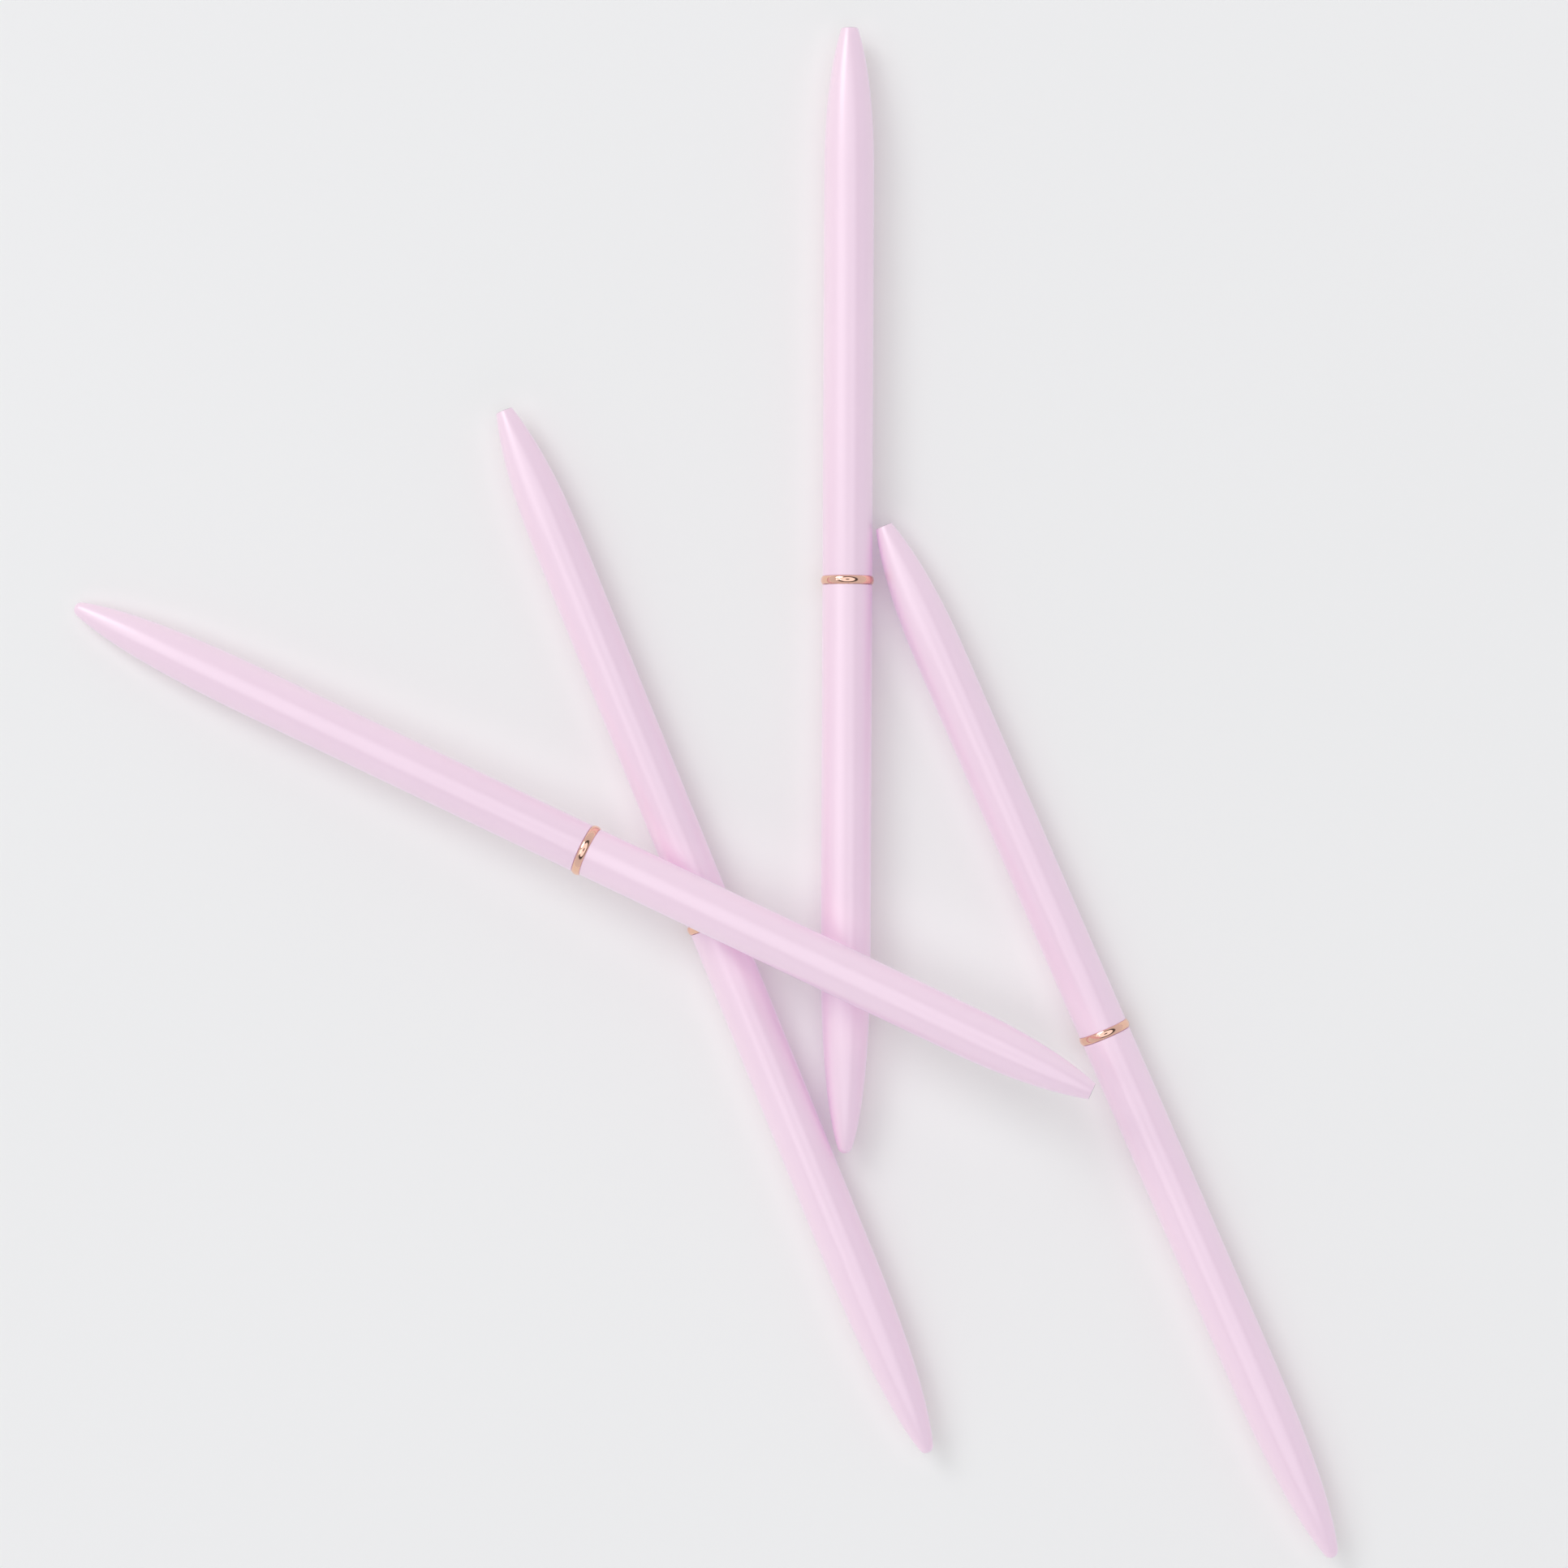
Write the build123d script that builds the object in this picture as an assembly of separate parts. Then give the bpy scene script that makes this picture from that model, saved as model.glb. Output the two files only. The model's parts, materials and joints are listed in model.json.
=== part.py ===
from build123d import *
import math
import os

# Four slim twist-action ballpoint pens, put down loosely crossed on a table.
#
# All four pens are alike and have the same fourteen pieces. A piece is made about the pen's own
# axis, with the nose end at z = 0 and the round tail end at z = pen_length, and with the writing
# tip drawn in. Twisting the rear half turns a cam sleeve about the guide tube, and its helical
# slot drives a pin, and with it the refill, along the guide tube's straight slot.
# Lengths are millimetres, angles are degrees, and the table is z = 0.

# Lacquered barrels
pen_length = 140.0
barrel_radius = 3.1
wall = 0.4
nose_rim_radius = 1.05
nose_angle = 16.8  # between the axis and the side, at the nose rim
nose_taper = 18.0  # from the nose end to the full radius
nose_hole_radius = 0.75
nose_hole_length = 1.5
nose_edge_round = 0.12
tail_dome_radius = 0.94
tail_angle = 17.5  # between the axis and the side, where the dome ends
tail_taper = 26.0  # from the tail end to the full radius
seam_bevel = 0.06

# Centre ring, between the two halves
ring_centre = 68.7
ring_length = 1.0
ring_radius = 3.3
ring_edge_radius = 3.15

# Clearances
running_gap = 0.05
thread_gap = 0.04
slot_gap = 0.05

# Thread between the guide tube and the bush in the front barrel, drawn as closed rings
bush_length = 10.0
thread_length = 8.0
thread_pitch = 0.5
thread_major = 2.3
thread_minor = 2.05

# Twist mechanism
refill_travel = 3.5
twist_angle = 180.0
shoulder_radius = 2.6
shoulder_length = 0.8
guide_radius = 2.1
guide_bore = 1.75
guide_end = 94.0
seal_groove_length = 1.2
seal_thickness = 0.56
sleeve_end = 92.3
clip_groove_depth = 0.18
clip_groove_length = 0.6
clip_thickness = 0.5
clip_radius = 2.5
clip_mouth_angle = 70.0
pin_radius = 0.5
pin_foot = 0.6  # distance of the pin's foot from the axis
pin_head = 2.6  # distance of the pin's head from the axis
pin_z = 88.6
cam_slot_angle = 66.0
carrier_radius = 1.7
carrier_start = 82.0
carrier_end = 90.4
socket_depth = 5.0

# Refill
ball_radius = 0.35
ball_recess = 1.0  # from the nose end to the ball, when the tip is drawn in
ball_play = 0.01
tip_lip_radius = 0.42
tip_shank_radius = 0.62
tip_shank_end = 7.0
tip_collar_radius = 1.15
tip_collar_start = 8.2
ink_channel_radius = 0.2
refill_radius = 1.5
refill_bore = 1.25
refill_start = 10.0
refill_end = 78.0
refill_swage = 1.2
tip_tail_length = 4.0
plug_spigot_length = 4.0
plug_collar_length = 2.0
plug_stud_radius = 1.15

# How the pens lie: the centre of the tail dome, seen from above, and the heading of the nose
tails = {
    "pen_1": (-77.85, 22.88),
    "pen_2": (27.47, -81.21),
    "pen_3": (17.43, -43.89),
    "pen_4": (77.85, -94.24),
}
headings = {"pen_1": -25.29, "pen_2": 112.16, "pen_3": 89.75, "pen_4": 113.56}
leaning_pen = "pen_1"
bearing_pen = "pen_2"  # the pen that the leaning one lies on
resting_gap = 0.06

# Derived along the axis
bore_radius = barrel_radius - wall
ring_start = ring_centre - ring_length / 2
ring_end = ring_centre + ring_length / 2
shoulder_end = ring_end + shoulder_length
sleeve_start = shoulder_end + seal_groove_length
sleeve_bore = guide_radius + running_gap
slot_start = pin_z - refill_travel - pin_radius - slot_gap
slot_length = refill_travel + 2 * (pin_radius + slot_gap)


def turned(*outline):
    """Solid of revolution about the axis, from the edges of a closed outline in (radius, z)."""
    edges = [edge for stretch in outline for edge in stretch.edges()]
    return revolve(Plane.XZ * make_face(edges), Axis.Z)


def turned_points(*points):
    """Solid of revolution about the axis, from the corners of an outline in (radius, z)."""
    return turned(Polyline(*points, close=True))


def flare(start_radius, start_z, angle, end_radius, end_z):
    """Curve that leaves its start at an angle to the axis and runs out along the axis."""
    way = math.copysign(1.0, end_z - start_z)
    corner_z = start_z + way * (end_radius - start_radius) / math.tan(math.radians(angle))
    return Bezier((start_radius, start_z), (end_radius, corner_z), (end_radius, end_z))


def thread_points(major, minor):
    """Zigzag of the thread, as (radius, z), from its far end to the centre ring."""
    turns = int(thread_length / thread_pitch)
    crests = [(ring_start - thread_length + i * thread_pitch) for i in range(turns)]
    zigzag = [[(major, z), (minor, z + thread_pitch / 2)] for z in crests]
    return [point for pair in zigzag for point in pair]


def front_barrel():
    """Tapered front half: open at the nose for the tip, and at the back for the bush."""
    outer = flare(nose_rim_radius, 0, nose_angle, barrel_radius, nose_taper)
    inner = flare(nose_hole_radius, nose_hole_length, nose_angle, bore_radius, nose_taper)
    back = Polyline(
        (barrel_radius, nose_taper),
        (barrel_radius, ring_start - seam_bevel),
        (barrel_radius - seam_bevel, ring_start),
        (bore_radius, ring_start),
        (bore_radius, nose_taper),
    )
    nose = Polyline((nose_hole_radius, nose_hole_length), (nose_hole_radius, 0), (nose_rim_radius, 0))
    barrel = turned(outer, back, inner, nose)
    rims = barrel.edges().filter_by(GeomType.CIRCLE).group_by(Axis.Z)[0]
    return fillet(rims.sort_by(SortBy.RADIUS)[-1], nose_edge_round)


def tail_flare(dome_radius, full_radius):
    """Dome at the tail and the flare that runs on from it, for the outside or the cavity."""
    slant = math.radians(tail_angle)
    centre_z = pen_length - tail_dome_radius
    side = (dome_radius * math.cos(slant), centre_z + dome_radius * math.sin(slant))
    half = math.radians((90 + tail_angle) / 2)
    middle = (dome_radius * math.cos(half), centre_z + dome_radius * math.sin(half))
    dome = ThreePointArc((0, centre_z + dome_radius), middle, side)
    return dome, flare(*side, tail_angle, full_radius, pen_length - tail_taper)


def rear_barrel():
    """Tapered rear half: a drawn tube with one wall thickness and a closed, domed tail."""
    dome, outer = tail_flare(tail_dome_radius, barrel_radius)
    hollow, inner = tail_flare(tail_dome_radius - wall, bore_radius)
    start = ring_end + running_gap
    mouth = Polyline(
        (barrel_radius, pen_length - tail_taper),
        (barrel_radius, start + seam_bevel),
        (barrel_radius - seam_bevel, start),
        (bore_radius, start),
        (bore_radius, pen_length - tail_taper),
    )
    centre = pen_length - tail_dome_radius
    axis_line = Line((0, centre + tail_dome_radius - wall), (0, centre + tail_dome_radius))
    return turned(dome, outer, mouth, inner, hollow, axis_line)


def centre_ring():
    """Polished ring with a crowned rim, clamped between the front barrel and the guide tube."""
    crown = ThreePointArc(
        (ring_edge_radius, ring_start), (ring_radius, ring_centre), (ring_edge_radius, ring_end)
    )
    sides = Polyline(
        (ring_edge_radius, ring_end),
        (thread_major, ring_end),
        (thread_major, ring_start),
        (ring_edge_radius, ring_start),
    )
    return turned(crown, sides)


def thread_bush():
    """Bush pressed into the front barrel, threaded for the guide tube."""
    bush_start = ring_start - bush_length
    bore = thread_points(thread_major + thread_gap, thread_minor + thread_gap)
    return turned_points(
        (bore_radius, bush_start),
        (thread_minor + thread_gap, bush_start),
        *bore,
        (thread_major + thread_gap, ring_start),
        (bore_radius, ring_start),
    )


def guide_tube():
    """Fixed tube of the mechanism: thread, ring seat, shoulder, clip groove and straight slot."""
    clip_start = sleeve_end + running_gap
    tube = turned_points(
        (guide_bore, ring_start - thread_length),
        *thread_points(thread_major, thread_minor),
        (thread_major, ring_start),
        (thread_major, ring_end),
        (shoulder_radius, ring_end),
        (shoulder_radius, shoulder_end),
        (guide_radius, shoulder_end),
        (guide_radius, clip_start),
        (guide_radius - clip_groove_depth, clip_start),
        (guide_radius - clip_groove_depth, clip_start + clip_groove_length),
        (guide_radius, clip_start + clip_groove_length),
        (guide_radius, guide_end),
        (guide_bore, guide_end),
    )
    slot_width = 2 * (pin_radius + slot_gap)
    slot = SlotOverall(slot_length, slot_width, rotation=90)
    slot_middle = Plane((0, 0, slot_start + slot_length / 2), x_dir=(0, 1, 0), z_dir=(1, 0, 0))
    return tube - extrude(slot_middle * slot, guide_radius + running_gap)


def cam_sleeve():
    """Sleeve pressed into the rear barrel, with the helical slot that drives the pin."""
    sleeve = turned_points(
        (sleeve_bore, sleeve_start),
        (bore_radius, sleeve_start),
        (bore_radius, sleeve_end),
        (sleeve_bore, sleeve_end),
    )
    lead = twist_angle / refill_travel
    overrun = pin_radius + slot_gap
    start_angle = twist_angle + lead * overrun
    reach = 2 * barrel_radius
    half = cam_slot_angle / 2
    corners = [Vector(reach, 0).rotate(Axis.Z, start_angle + side * half) for side in (-1, 0, 1)]
    sector = Wire.make_polygon([Vector(0, 0), *corners])
    sector = sector.moved(Location((0, 0, slot_start)))
    slot = Solid.extrude_linear_with_rotation(
        sector, Vector(0, 0, slot_start), Vector(0, 0, slot_length), -lead * slot_length
    )
    return sleeve - slot


def retaining_ring():
    """Spring clip in the guide tube's groove, which keeps the cam sleeve on."""
    inner = guide_radius - clip_groove_depth
    start = sleeve_end + running_gap + (clip_groove_length - clip_thickness)
    ring = turned_points(
        (inner, start),
        (clip_radius, start),
        (clip_radius, start + clip_thickness),
        (inner, start + clip_thickness),
    )
    half = math.radians(clip_mouth_angle / 2)
    reach = 2 * clip_radius
    far = (-reach * math.cos(half), reach * math.sin(half))
    mouth = make_face(Polyline((0, 0), far, (far[0], -far[1]), close=True))
    return ring - extrude(Plane.XY.offset(start) * mouth, clip_thickness)


def friction_ring():
    """Rubber ring that gives the twist its drag, round the guide tube behind its shoulder."""
    middle = Plane.XY.offset(shoulder_end + seal_groove_length / 2)
    return middle * Torus(guide_radius + seal_thickness / 2, seal_thickness / 2)


def refill_carrier():
    """Slider in the guide tube: it holds the refill's stud in front and the pin behind."""
    carrier = turned_points(
        (plug_stud_radius, carrier_start),
        (carrier_radius, carrier_start),
        (carrier_radius, carrier_end),
        (0, carrier_end),
        (0, carrier_start + socket_depth),
        (plug_stud_radius, carrier_start + socket_depth),
    )
    return carrier - radial_pin(carrier_radius + running_gap)


def radial_pin(head):
    """Cylinder across the axis, from the pin's foot to a given distance."""
    foot = Plane((pin_foot, 0, pin_z), z_dir=(1, 0, 0))
    return extrude(foot * Circle(pin_radius), head - pin_foot)


def follower_pin():
    """Pin in the carrier that runs in the guide tube's slot and in the cam sleeve's."""
    pin = radial_pin(pin_head)
    return chamfer(pin.edges().sort_by(Axis.X)[-1], slot_gap)


def refill_tube():
    """Thin metal ink tube, swaged in at the front onto the writing tip."""
    return turned_points(
        (refill_bore, refill_start),
        (refill_bore + slot_gap, refill_start),
        (refill_radius, refill_start + refill_swage),
        (refill_radius, refill_end),
        (refill_bore, refill_end),
    )


def refill_tip():
    """Writing tip: socket for the ball, ink channel, thin shank, collar and tail."""
    lip_z = ball_recess + ball_radius - ball_play
    shoulder_z = lip_z + (tip_shank_radius - tip_lip_radius) * 4
    tip = turned_points(
        (ink_channel_radius, lip_z),
        (tip_lip_radius, lip_z),
        (tip_shank_radius, shoulder_z),
        (tip_shank_radius, tip_shank_end),
        (tip_collar_radius, tip_collar_start),
        (tip_collar_radius, refill_start),
        (refill_bore, refill_start),
        (refill_bore, refill_start + tip_tail_length),
        (ink_channel_radius, refill_start + tip_tail_length),
    )
    return tip - Pos(0, 0, ball_recess + ball_radius) * Sphere(ball_radius + ball_play)


def tip_ball():
    """Writing ball."""
    return Pos(0, 0, ball_recess + ball_radius) * Sphere(ball_radius)


def refill_plug():
    """Plastic plug that closes the ink tube, with a collar and a stud for the carrier."""
    collar_end = refill_end + plug_collar_length
    return turned_points(
        (0, refill_end - plug_spigot_length),
        (refill_bore, refill_end - plug_spigot_length),
        (refill_bore, refill_end),
        (refill_radius, refill_end),
        (refill_radius, collar_end),
        (plug_stud_radius, collar_end),
        (plug_stud_radius, carrier_start + socket_depth),
        (0, carrier_start + socket_depth),
    )


pieces = [
    front_barrel,
    rear_barrel,
    centre_ring,
    thread_bush,
    guide_tube,
    cam_sleeve,
    retaining_ring,
    friction_ring,
    refill_carrier,
    follower_pin,
    refill_tube,
    refill_tip,
    tip_ball,
    refill_plug,
]


def plan_direction(pen):
    """Direction of a pen's nose, seen from above."""
    return Vector(1, 0).rotate(Axis.Z, headings[pen])


def nose_direction(pen, lean):
    """Direction of a pen's nose, with its own slope."""
    slope = math.radians(lean)
    return plan_direction(pen) * math.cos(slope) + Vector(0, 0, math.sin(slope))


def flank_height(lean):
    """Height of the tail dome's centre, when a leaning pen's tapered flank is on the table."""
    outer = tail_flare(tail_dome_radius, barrel_radius)[1].edge()
    touching = outer @ outer.find_tangent(lean - 90)[0]
    back = pen_length - tail_dome_radius - touching.Y
    slope = math.radians(lean)
    return touching.X * math.cos(slope) - back * math.sin(slope)


def bearing_height(lean):
    """Height of the leaning pen's axis where it crosses over the bearing pen."""
    normal = nose_direction(leaning_pen, lean).cross(plan_direction(bearing_pen)).normalized()
    return ring_radius + (2 * barrel_radius + resting_gap) / abs(normal.Z)


def lean_angle():
    """Slope of the leaning pen, with its flank on the table and its barrel on the bearing pen."""
    gap = Vector(*tails[bearing_pen]) - Vector(*tails[leaning_pen])
    along, across = plan_direction(leaning_pen), plan_direction(bearing_pen)
    run = gap.cross(across).Z / along.cross(across).Z
    lean = 5.0
    for _ in range(6):
        rise = bearing_height(lean) - flank_height(lean)
        lean = math.degrees(math.atan(rise / run))
    return lean


def lay(pen):
    """Place of a pen: its own z axis runs from the nose to the tail, and its pin points up."""
    lean = lean_angle() if pen == leaning_pen else 0.0
    height = flank_height(lean) if pen == leaning_pen else ring_radius
    nose_way = nose_direction(pen, lean)
    side_way = Vector(0, 0, 1).cross(nose_way)
    tail_centre = Vector(*tails[pen], height)
    nose_end = tail_centre + nose_way * (pen_length - tail_dome_radius)
    return Plane(origin=nose_end, x_dir=nose_way.cross(side_way), z_dir=-nose_way).location


os.makedirs("parts", exist_ok=True)
for make_piece in pieces:
    piece = make_piece()
    for pen in tails:
        export_step(piece.moved(lay(pen)), f"parts/{pen}_{make_piece.__name__}.step")
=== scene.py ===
import json
import math

import bmesh
import bpy
from mathutils import Matrix, Vector


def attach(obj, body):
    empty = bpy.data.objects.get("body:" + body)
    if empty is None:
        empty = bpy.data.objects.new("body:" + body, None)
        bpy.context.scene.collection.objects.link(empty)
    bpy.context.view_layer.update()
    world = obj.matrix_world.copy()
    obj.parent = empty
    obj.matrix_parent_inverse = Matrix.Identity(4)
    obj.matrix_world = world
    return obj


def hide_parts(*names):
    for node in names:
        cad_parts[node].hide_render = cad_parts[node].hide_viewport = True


# Four slim twist pens on a pale table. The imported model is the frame, and the pieces that show are
# turned again here at a finer pitch. Their outlines are in millimetres along the pen's own axis,
# from the nose end at z = 0 to the tail at PEN_LENGTH. Everything else is in metres.
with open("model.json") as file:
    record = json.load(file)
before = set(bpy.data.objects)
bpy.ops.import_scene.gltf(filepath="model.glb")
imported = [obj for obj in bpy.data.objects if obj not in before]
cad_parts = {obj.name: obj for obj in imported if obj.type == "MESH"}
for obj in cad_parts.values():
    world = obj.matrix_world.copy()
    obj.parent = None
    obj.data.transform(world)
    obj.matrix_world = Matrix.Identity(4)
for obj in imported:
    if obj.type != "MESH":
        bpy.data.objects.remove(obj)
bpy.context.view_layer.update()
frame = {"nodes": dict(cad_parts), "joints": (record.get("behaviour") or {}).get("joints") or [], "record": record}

MM = 0.001
SEGMENTS = 128

# The barrels
PEN_LENGTH = 140.0
BARREL_RADIUS = 3.1
WALL = 0.4
NOSE_RIM_RADIUS = 1.05
NOSE_ANGLE = 16.8
NOSE_TAPER = 18.0
NOSE_EDGE_ROUND = 0.12
NOSE_HOLE_RADIUS = 0.75
NOSE_HOLE_LENGTH = 1.5
NOSE_HOLE_BEVEL = 0.04
TAIL_DOME_RADIUS = 0.94
TAIL_ANGLE = 17.5
TAIL_TAPER = 26.0
SEAM_ROUND = 0.09
RUNNING_GAP = 0.05
NOSE_STEPS = 36
TAIL_STEPS = 42
BORE_STEPS = 18

# The ring between the two halves
RING_START = 68.2
RING_END = 69.2
RING_BORE = 2.3
RING_RADIUS = 3.3
RING_EDGE_RADIUS = 3.15
RING_EDGE_ROUND = 0.07
CROWN_STEPS = 20
CROWN_CUT = 3

# The writing tip, as it sits drawn in
TIP_LIP_Z = 1.34
TIP_LIP_RADIUS = 0.42
TIP_LIP_ROUND = 0.05
TIP_SHOULDER_ROUND = 0.6
TIP_SHANK_RADIUS = 0.62
TIP_SHANK_START = 2.14
TIP_SHANK_END = 7.0
TIP_COLLAR_RADIUS = 1.15
TIP_COLLAR_START = 8.2
TIP_COLLAR_ROUND = 0.3
TIP_SHOULDER_Z = 10.0
TIP_TAIL_RADIUS = 1.25
TIP_TAIL_END = 14.0
TIP_CHANNEL_RADIUS = 0.2
TIP_GROOVE_DEPTH = 0.05
TIP_GROOVES_BEFORE_END = (1.6, 0.9)

# Which of a turned piece's two materials a stretch of its outline takes
SURFACE = 0
BARE = 1

# The lights' tint, and the room's brightness at each height of its sphere, from level to overhead
LIGHT_TINT = (1.0, 0.995, 1.09)
WALL_STOPS = ((0.0, 0.60), (0.66, 0.55))
GAP_STOPS = ((0.72, 0.08), (0.82, 0.08))
CEILING_STOPS = ((0.86, 1.0), (0.985, 1.0), (0.992, 0.1))


def flare(start, angle, end, steps):
    """Points of the curve that leaves its start at an angle to the axis and ends along the axis."""
    way = math.copysign(1.0, end[1] - start[1])
    corner = (end[0], start[1] + way * (end[0] - start[0]) / math.tan(math.radians(angle)))
    shares = [step / steps for step in range(steps + 1)]
    return [
        tuple((1 - u) ** 2 * s + 2 * u * (1 - u) * c + u * u * e for s, c, e in zip(start, corner, end))
        for u in shares
    ]


def arc(centre, radius, start, end, steps):
    """Points of an arc in the (radius, z) plane, between two angles in degrees."""
    turns = [math.radians(start + (end - start) * step / steps) for step in range(steps + 1)]
    return [(centre[0] + radius * math.cos(t), centre[1] + radius * math.sin(t)) for t in turns]


def rounded(before, corner, after, radius, steps=5):
    """Points of the arc that rounds an outline's corner."""
    corner = Vector(corner)
    back = (Vector(before) - corner).normalized()
    on = (Vector(after) - corner).normalized()
    half = back.angle(on) / 2
    middle = corner + (back + on).normalized() * radius / math.sin(half)
    start = corner + back * radius / math.tan(half) - middle
    sweep = math.copysign(math.pi - 2 * half, start.cross(back) * -1)
    turns = [sweep * step / steps for step in range(steps + 1)]
    return [tuple(middle + Matrix.Rotation(turn, 2) @ start) for turn in turns]


def finished(points, finish):
    """Outline points with the number of the material that starts at each of them."""
    return [(radius, z, finish) for radius, z in points]


def nose_outline():
    """The front half: bare nose rim, flare, straight barrel, rounded seam, and the bore."""
    rim = (NOSE_RIM_RADIUS, 0.0)
    hole = (NOSE_HOLE_RADIUS, 0.0)
    flank = flare(rim, NOSE_ANGLE, (BARREL_RADIUS, NOSE_TAPER), NOSE_STEPS)
    bore = BARREL_RADIUS - WALL
    hollow = flare((NOSE_HOLE_RADIUS, NOSE_HOLE_LENGTH), NOSE_ANGLE, (bore, NOSE_TAPER), BORE_STEPS)
    seam = (BARREL_RADIUS, RING_START)
    outside = (
        rounded(hole, rim, flank[2], NOSE_EDGE_ROUND, 8)
        + flank[2:]
        + rounded(flank[-1], seam, (bore, RING_START), SEAM_ROUND)
    )
    inside = (
        [(bore, RING_START)]
        + hollow[::-1]
        + rounded(hollow[0], hole, rim, NOSE_HOLE_BEVEL, 3)
    )
    bare_rim = 5
    edge = finished(outside[:bare_rim], BARE) + finished(outside[bare_rim:], SURFACE)
    return edge + finished(inside, BARE)


def tail_curve(dome_radius, full_radius, steps):
    """The tail's dome, from the axis, and the flare that runs on from it."""
    centre = (0.0, PEN_LENGTH - TAIL_DOME_RADIUS)
    dome = arc(centre, dome_radius, 90, TAIL_ANGLE, steps // 3)
    dome[0] = (0.0, dome[0][1])
    return dome + flare(dome[-1], TAIL_ANGLE, (full_radius, PEN_LENGTH - TAIL_TAPER), steps)[1:]


def tail_outline():
    """The rear half: dome, flare, straight barrel, rounded seam, and the closed cavity."""
    bore = BARREL_RADIUS - WALL
    start = RING_END + RUNNING_GAP
    outer = tail_curve(TAIL_DOME_RADIUS, BARREL_RADIUS, TAIL_STEPS)
    inner = tail_curve(TAIL_DOME_RADIUS - WALL, bore, BORE_STEPS)
    seam = rounded(outer[-1], (BARREL_RADIUS, start), (bore, start), SEAM_ROUND)
    return finished(outer + seam, SURFACE) + finished([(bore, start)] + inner[::-1], BARE)


def ring_outline():
    """The polished ring: crowned rim, rounded edges, flat sides and its bore."""
    rise, half = RING_RADIUS - RING_EDGE_RADIUS, (RING_END - RING_START) / 2
    crown_radius = (half * half + rise * rise) / (2 * rise)
    spread = math.degrees(math.asin(half / crown_radius))
    centre = (RING_RADIUS - crown_radius, (RING_START + RING_END) / 2)
    crown = arc(centre, crown_radius, -spread, spread, CROWN_STEPS)
    sides = [(RING_BORE, RING_START), (RING_BORE, RING_END)]
    rim = (
        rounded(sides[0], crown[0], crown[CROWN_CUT], RING_EDGE_ROUND)
        + crown[CROWN_CUT:-CROWN_CUT]
        + rounded(crown[-CROWN_CUT - 1], crown[-1], sides[1], RING_EDGE_ROUND)
    )
    return finished(rim + sides[::-1], SURFACE)


def tip_outline():
    """The writing tip: crimped lip, shoulder, grooved shank, collar, tail and ink channel."""
    lip = (TIP_LIP_RADIUS, TIP_LIP_Z)
    shoulder = (TIP_SHANK_RADIUS, TIP_SHANK_START)
    shank_end = (TIP_SHANK_RADIUS, TIP_SHANK_END)
    collar = (TIP_COLLAR_RADIUS, TIP_COLLAR_START)
    collar_end = (TIP_COLLAR_RADIUS, TIP_SHOULDER_Z)
    grooves = []
    for before_end in TIP_GROOVES_BEFORE_END:
        middle = (TIP_SHANK_RADIUS + TIP_GROOVE_DEPTH, TIP_SHANK_END - before_end)
        grooves += arc(middle, 2 * TIP_GROOVE_DEPTH, 240, 120, 8)
    outside = (
        rounded((TIP_CHANNEL_RADIUS, TIP_LIP_Z), lip, shoulder, TIP_LIP_ROUND)
        + rounded(lip, shoulder, shank_end, TIP_SHOULDER_ROUND, 8)
        + grooves
        + rounded(shoulder, shank_end, collar, TIP_COLLAR_ROUND)
        + rounded(shank_end, collar, collar_end, TIP_COLLAR_ROUND)
        + [collar_end, (TIP_TAIL_RADIUS, TIP_SHOULDER_Z)]
    )
    inside = [
        (TIP_TAIL_RADIUS, TIP_TAIL_END),
        (TIP_CHANNEL_RADIUS, TIP_TAIL_END),
        (TIP_CHANNEL_RADIUS, TIP_LIP_Z),
    ]
    return finished(outside + inside, SURFACE)


def lathe(name, outline, materials):
    """Mesh turned about its own z axis from an outline, closed by the axis or by its own start."""
    shape = bmesh.new()
    turns = [math.tau * step / SEGMENTS for step in range(SEGMENTS)]
    rings = []
    for radius, z, _ in outline:
        around = turns if radius else [0.0]
        spots = [(radius * MM * math.cos(t), radius * MM * math.sin(t), z * MM) for t in around]
        rings.append([shape.verts.new(spot) for spot in spots])
    for place, (ring, after) in enumerate(zip(rings, rings[1:] + rings[:1])):
        if len(ring) == len(after) == 1:
            continue
        for step in range(SEGMENTS):
            beside = (step + 1) % SEGMENTS
            corners = [ring[step % len(ring)], ring[beside % len(ring)]]
            corners += [after[beside % len(after)], after[step % len(after)]]
            face = shape.faces.new(dict.fromkeys(corners))
            face.material_index = outline[place][2]
            face.smooth = True
    bmesh.ops.recalc_face_normals(shape, faces=shape.faces)
    mesh = bpy.data.meshes.new(name)
    shape.to_mesh(mesh)
    shape.free()
    mesh.set_sharp_from_angle(angle=math.radians(35))
    for material in materials:
        mesh.materials.append(material)
    piece = bpy.data.objects.new(name, mesh)
    bpy.context.scene.collection.objects.link(piece)
    return piece


def pen_place(pen):
    """Matrix of a pen's own axes, from its twist joint, which sits on the ring's rear face."""
    joint = next(joint for joint in frame["joints"] if joint["name"] == f"{pen}_twist")
    nose_way = Vector(joint["axis"]).normalized()
    nose_end = Vector(joint["pos_m"]) + nose_way * RING_END * MM
    side_way = Vector((0, 0, 1)).cross(nose_way).normalized()
    turn = Matrix((nose_way.cross(side_way), -side_way, -nose_way)).transposed()
    return Matrix.Translation(nose_end) @ turn.to_4x4()


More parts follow.
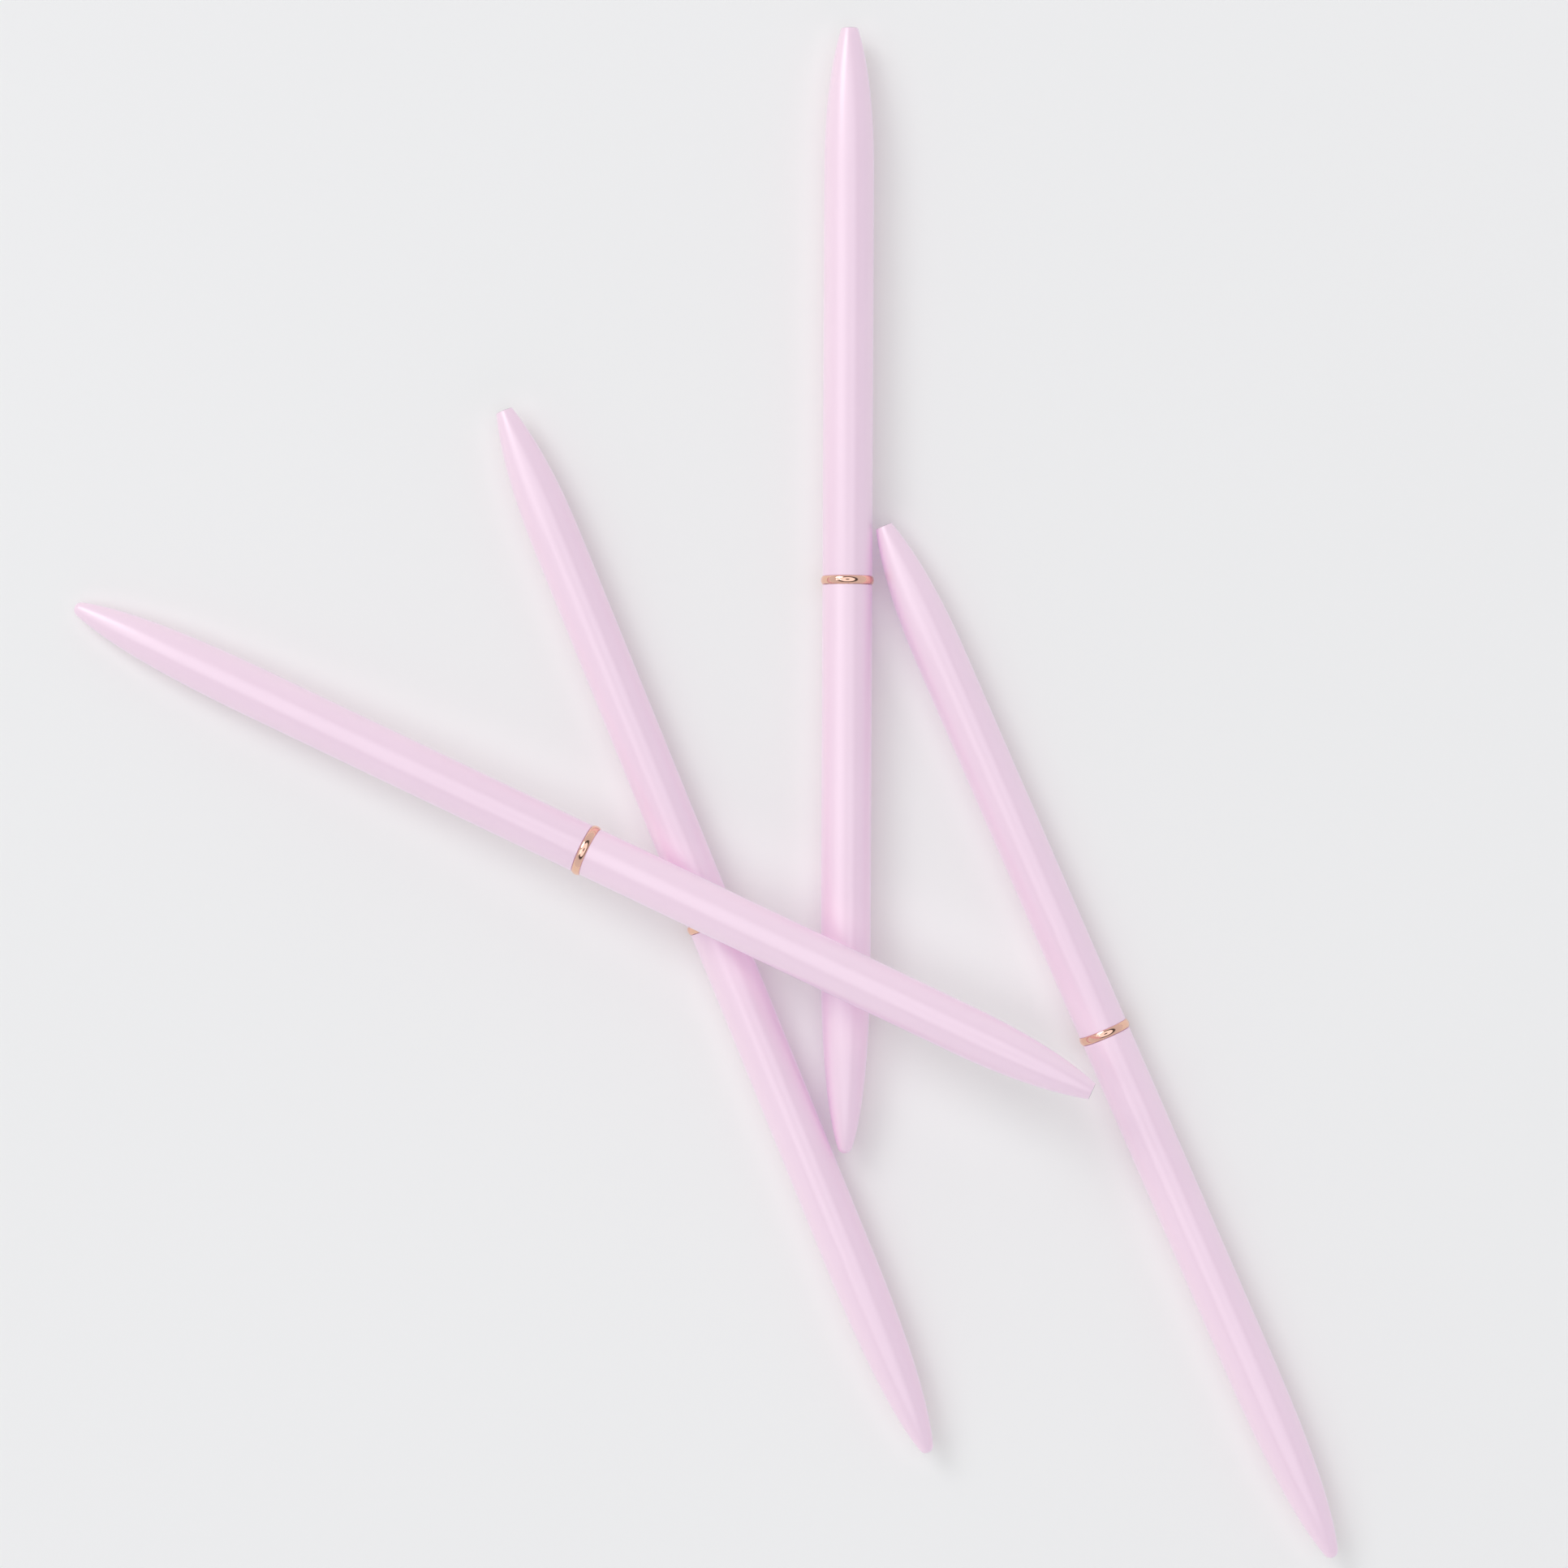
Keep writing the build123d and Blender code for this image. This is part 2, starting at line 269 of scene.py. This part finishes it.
class Finish:
    """A material with a Principled shader, and short ways to wire procedural detail into it."""

    def __init__(self, name, **settings):
        self.material = bpy.data.materials.new(name)
        self.material.use_nodes = True
        self.nodes = self.material.node_tree.nodes
        self.link = self.material.node_tree.links.new
        self.shader = self.nodes["Principled BSDF"]
        for socket, value in settings.items():
            self.shader.inputs[socket.replace("_", " ")].default_value = value
        self.place = self.nodes.new("ShaderNodeTexCoord").outputs["Object"]

    def noise(self, per_metre, detail=2.0, stretch=(1, 1, 1)):
        """Noise through the piece's own space, with so many features to the metre."""
        mapping = self.nodes.new("ShaderNodeMapping")
        mapping.inputs["Scale"].default_value = stretch
        texture = self.nodes.new("ShaderNodeTexNoise")
        texture.inputs["Scale"].default_value = per_metre
        texture.inputs["Detail"].default_value = detail
        self.link(self.place, mapping.inputs["Vector"])
        self.link(mapping.outputs["Vector"], texture.inputs["Vector"])
        return texture.outputs["Fac"]

    def tint(self, field, low, high, start=0.3, end=0.7):
        """Base colour that wanders between two tints."""
        ramp = self.nodes.new("ShaderNodeValToRGB")
        for stop, colour, position in zip(ramp.color_ramp.elements, (low, high), (start, end)):
            stop.color = (*colour, 1)
            stop.position = position
        self.link(field, ramp.inputs["Fac"])
        self.link(ramp.outputs["Color"], self.shader.inputs["Base Color"])

    def gloss(self, field, smooth, rough):
        """Roughness that wanders between two values."""
        spread = self.nodes.new("ShaderNodeMapRange")
        spread.inputs["From Min"].default_value = 0.3
        spread.inputs["From Max"].default_value = 0.7
        spread.inputs["To Min"].default_value = smooth
        spread.inputs["To Max"].default_value = rough
        self.link(field, spread.inputs["Value"])
        self.link(spread.outputs["Result"], self.shader.inputs["Roughness"])

    def relief(self, field, height_mm, strength=1.0):
        """Bump of a given height."""
        bump = self.nodes.new("ShaderNodeBump")
        bump.inputs["Strength"].default_value = strength
        bump.inputs["Distance"].default_value = height_mm * MM
        self.link(field, bump.inputs["Height"])
        self.link(bump.outputs["Normal"], self.shader.inputs["Normal"])


def lacquer():
    """Satin pink-lilac lacquer with faint orange peel, and a faint painted violet glow that stands in for the
    violet light in the shade where the pens lie close together.
    """
    finish = Finish(
        "lacquer",
        IOR=1.75,
        Specular_IOR_Level=0.9,
        Specular_Tint=(1.0, 0.93, 0.88, 1.0),
        Coat_Weight=1.0,
        Coat_Roughness=0.28,
        Coat_IOR=1.45,
        # Painted glow: the lacquer gives off a little violet light of its own, standing in for the violet light
        # bounced into the shade between touching pens.
        Emission_Color=(0.4, 0.08, 1.0, 1.0),
        Emission_Strength=0.16,
    )
    finish.tint(finish.noise(90, 3), (0.905, 0.735, 0.65), (0.92, 0.75, 0.665))
    finish.gloss(finish.noise(900, 3), 0.36, 0.43)
    finish.relief(finish.noise(1600, 1), 0.004)
    return finish.material


def rose_gold():
    """Polished rose-gold plate, with fine turning marks that run round the ring."""
    finish = Finish("rose_gold", Metallic=1.0)
    finish.tint(finish.noise(300, 3), (0.87, 0.52, 0.38), (0.94, 0.60, 0.44))
    finish.gloss(finish.noise(1000, 2, (1, 1, 14)), 0.03, 0.07)
    finish.relief(finish.noise(1000, 2, (1, 1, 14)), 0.0015)
    return finish.material


def turned_metal(name, dark, light, smooth, rough):
    """Turned or drawn metal: fine marks, and patches where the oil film is thicker."""
    finish = Finish(name, Metallic=1.0)
    finish.tint(finish.noise(700, 4), dark, light)
    finish.gloss(finish.noise(2500, 3), smooth, rough)
    finish.relief(finish.noise(9000, 2), 0.003)
    return finish.material


def moulded(name, dark, light, rough):
    """Moulded plastic or rubber, with a fine grain."""
    finish = Finish(name)
    finish.tint(finish.noise(500, 3), dark, light)
    finish.gloss(finish.noise(3000, 2), rough - 0.05, rough + 0.05)
    finish.relief(finish.noise(12000, 2), 0.004)
    return finish.material


def table_top():
    """Plain pale matt table, with a little light of its own to soften the pens' shadows."""
    finish = Finish(
        "table_top",
        Roughness=0.8,
        Specular_IOR_Level=0.2,
        Emission_Color=(1.0, 1.0, 0.98, 1.0),
        Emission_Strength=0.06,
    )
    finish.tint(finish.noise(8, 2), (0.883, 0.892, 0.825), (0.893, 0.902, 0.835))
    return finish.material


materials = {
    "lacquer": lacquer(),
    "rose_gold": rose_gold(),
    "brass": turned_metal("brass", (0.62, 0.42, 0.16), (0.80, 0.60, 0.28), 0.22, 0.34),
    "spring_steel": turned_metal("spring_steel", (0.34, 0.34, 0.36), (0.52, 0.52, 0.55), 0.25, 0.38),
    "refill_steel": turned_metal("refill_steel", (0.55, 0.55, 0.57), (0.70, 0.70, 0.72), 0.20, 0.30),
    "nickel_tip": turned_metal("nickel_tip", (0.60, 0.56, 0.48), (0.76, 0.72, 0.64), 0.14, 0.24),
    "carbide_ball": turned_metal("carbide_ball", (0.36, 0.36, 0.38), (0.48, 0.48, 0.50), 0.06, 0.12),
    "rubber": moulded("rubber", (0.018, 0.018, 0.018), (0.032, 0.032, 0.032), 0.75),
    "white_plastic": moulded("white_plastic", (0.74, 0.74, 0.71), (0.82, 0.82, 0.79), 0.42),
    "black_plastic": moulded("black_plastic", (0.022, 0.022, 0.025), (0.038, 0.038, 0.042), 0.40),
}
bare_metal = turned_metal("bare_nose", (0.30, 0.28, 0.27), (0.44, 0.42, 0.40), 0.26, 0.38)

slots = {row["node"]: row["material_slot"] for row in frame["record"]["subparts"]}
for node, piece in frame["nodes"].items():
    piece.data.materials.clear()
    piece.data.materials.append(materials[slots[node]])

bodies = frame["record"]["behaviour"]["bodies"]
turned_again = {
    "front_barrel": nose_outline(),
    "rear_barrel": tail_outline(),
    "centre_ring": ring_outline(),
    "refill_tip": tip_outline(),
}
for pen in ("pen_1", "pen_2", "pen_3", "pen_4"):
    for part, outline in turned_again.items():
        node = f"{pen}_{part}"
        body = next(name for name, nodes in bodies.items() if node in nodes)
        piece = lathe(f"{node}_turned", outline, [materials[slots[node]], bare_metal])
        piece.matrix_world = pen_place(pen)
        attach(piece, body)
        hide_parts(node)


def table():
    """The pale floor that the pens lie on."""
    half = 20.0
    mesh = bpy.data.meshes.new("table")
    corners = [(-half, -half, 0), (half, -half, 0), (half, half, 0), (-half, half, 0)]
    mesh.from_pydata(corners, [], [(0, 1, 2, 3)])
    mesh.materials.append(table_top())
    floor = bpy.data.objects.new("table", mesh)
    bpy.context.scene.collection.objects.link(floor)


def softbox(name, place, size, watts, colour):
    """Square light that faces the pens."""
    light = bpy.data.lights.new(name, "AREA")
    light.size = size
    light.energy = watts
    light.color = colour
    lamp = bpy.data.objects.new(name, light)
    lamp.location = place
    lamp.rotation_euler = Vector(place).to_track_quat("Z", "Y").to_euler()
    bpy.context.scene.collection.objects.link(lamp)


def room_light(strength, colour):
    """Light from all round: pale walls, a dark gap round the ceiling panel, and a dim middle."""
    stops = WALL_STOPS + GAP_STOPS + CEILING_STOPS
    world = bpy.data.worlds.new("room")
    world.use_nodes = True
    nodes, link = world.node_tree.nodes, world.node_tree.links.new
    direction = nodes.new("ShaderNodeTexCoord").outputs["Generated"]
    split = nodes.new("ShaderNodeSeparateXYZ")
    ramp = nodes.new("ShaderNodeValToRGB")
    while len(ramp.color_ramp.elements) < len(stops):
        ramp.color_ramp.elements.new(1.0)
    for stop, (height, share) in zip(ramp.color_ramp.elements, stops):
        stop.position = height
        stop.color = (*(share * part for part in colour), 1)
    background = nodes["Background"]
    background.inputs["Strength"].default_value = strength
    link(direction, split.inputs["Vector"])
    link(split.outputs["Z"], ramp.inputs["Fac"])
    link(ramp.outputs["Color"], background.inputs["Color"])
    bpy.context.scene.world = world


def camera():
    """Camera straight above the table, with the pens' framing in the photograph."""
    height = 0.5
    seen_width = 0.19645
    sensor = 36.0
    lens = bpy.data.cameras.new("camera")
    lens.sensor_width = sensor
    lens.lens = sensor * height / seen_width
    lens.clip_start = 0.01
    lens.clip_end = 60.0
    eye = bpy.data.objects.new("camera", lens)
    eye.location = (0.00985, 0.00113, height)
    bpy.context.scene.collection.objects.link(eye)
    bpy.context.scene.camera = eye


table()
softbox("key", place=(-2.0, 1.95, 2.4), size=1.6, watts=28, colour=LIGHT_TINT)
softbox("side", place=(-2.0, 0.1, 2.4), size=1.3, watts=6.5, colour=LIGHT_TINT)
room_light(strength=1.24, colour=LIGHT_TINT)
camera()
bpy.context.scene.view_settings.view_transform = "Standard"
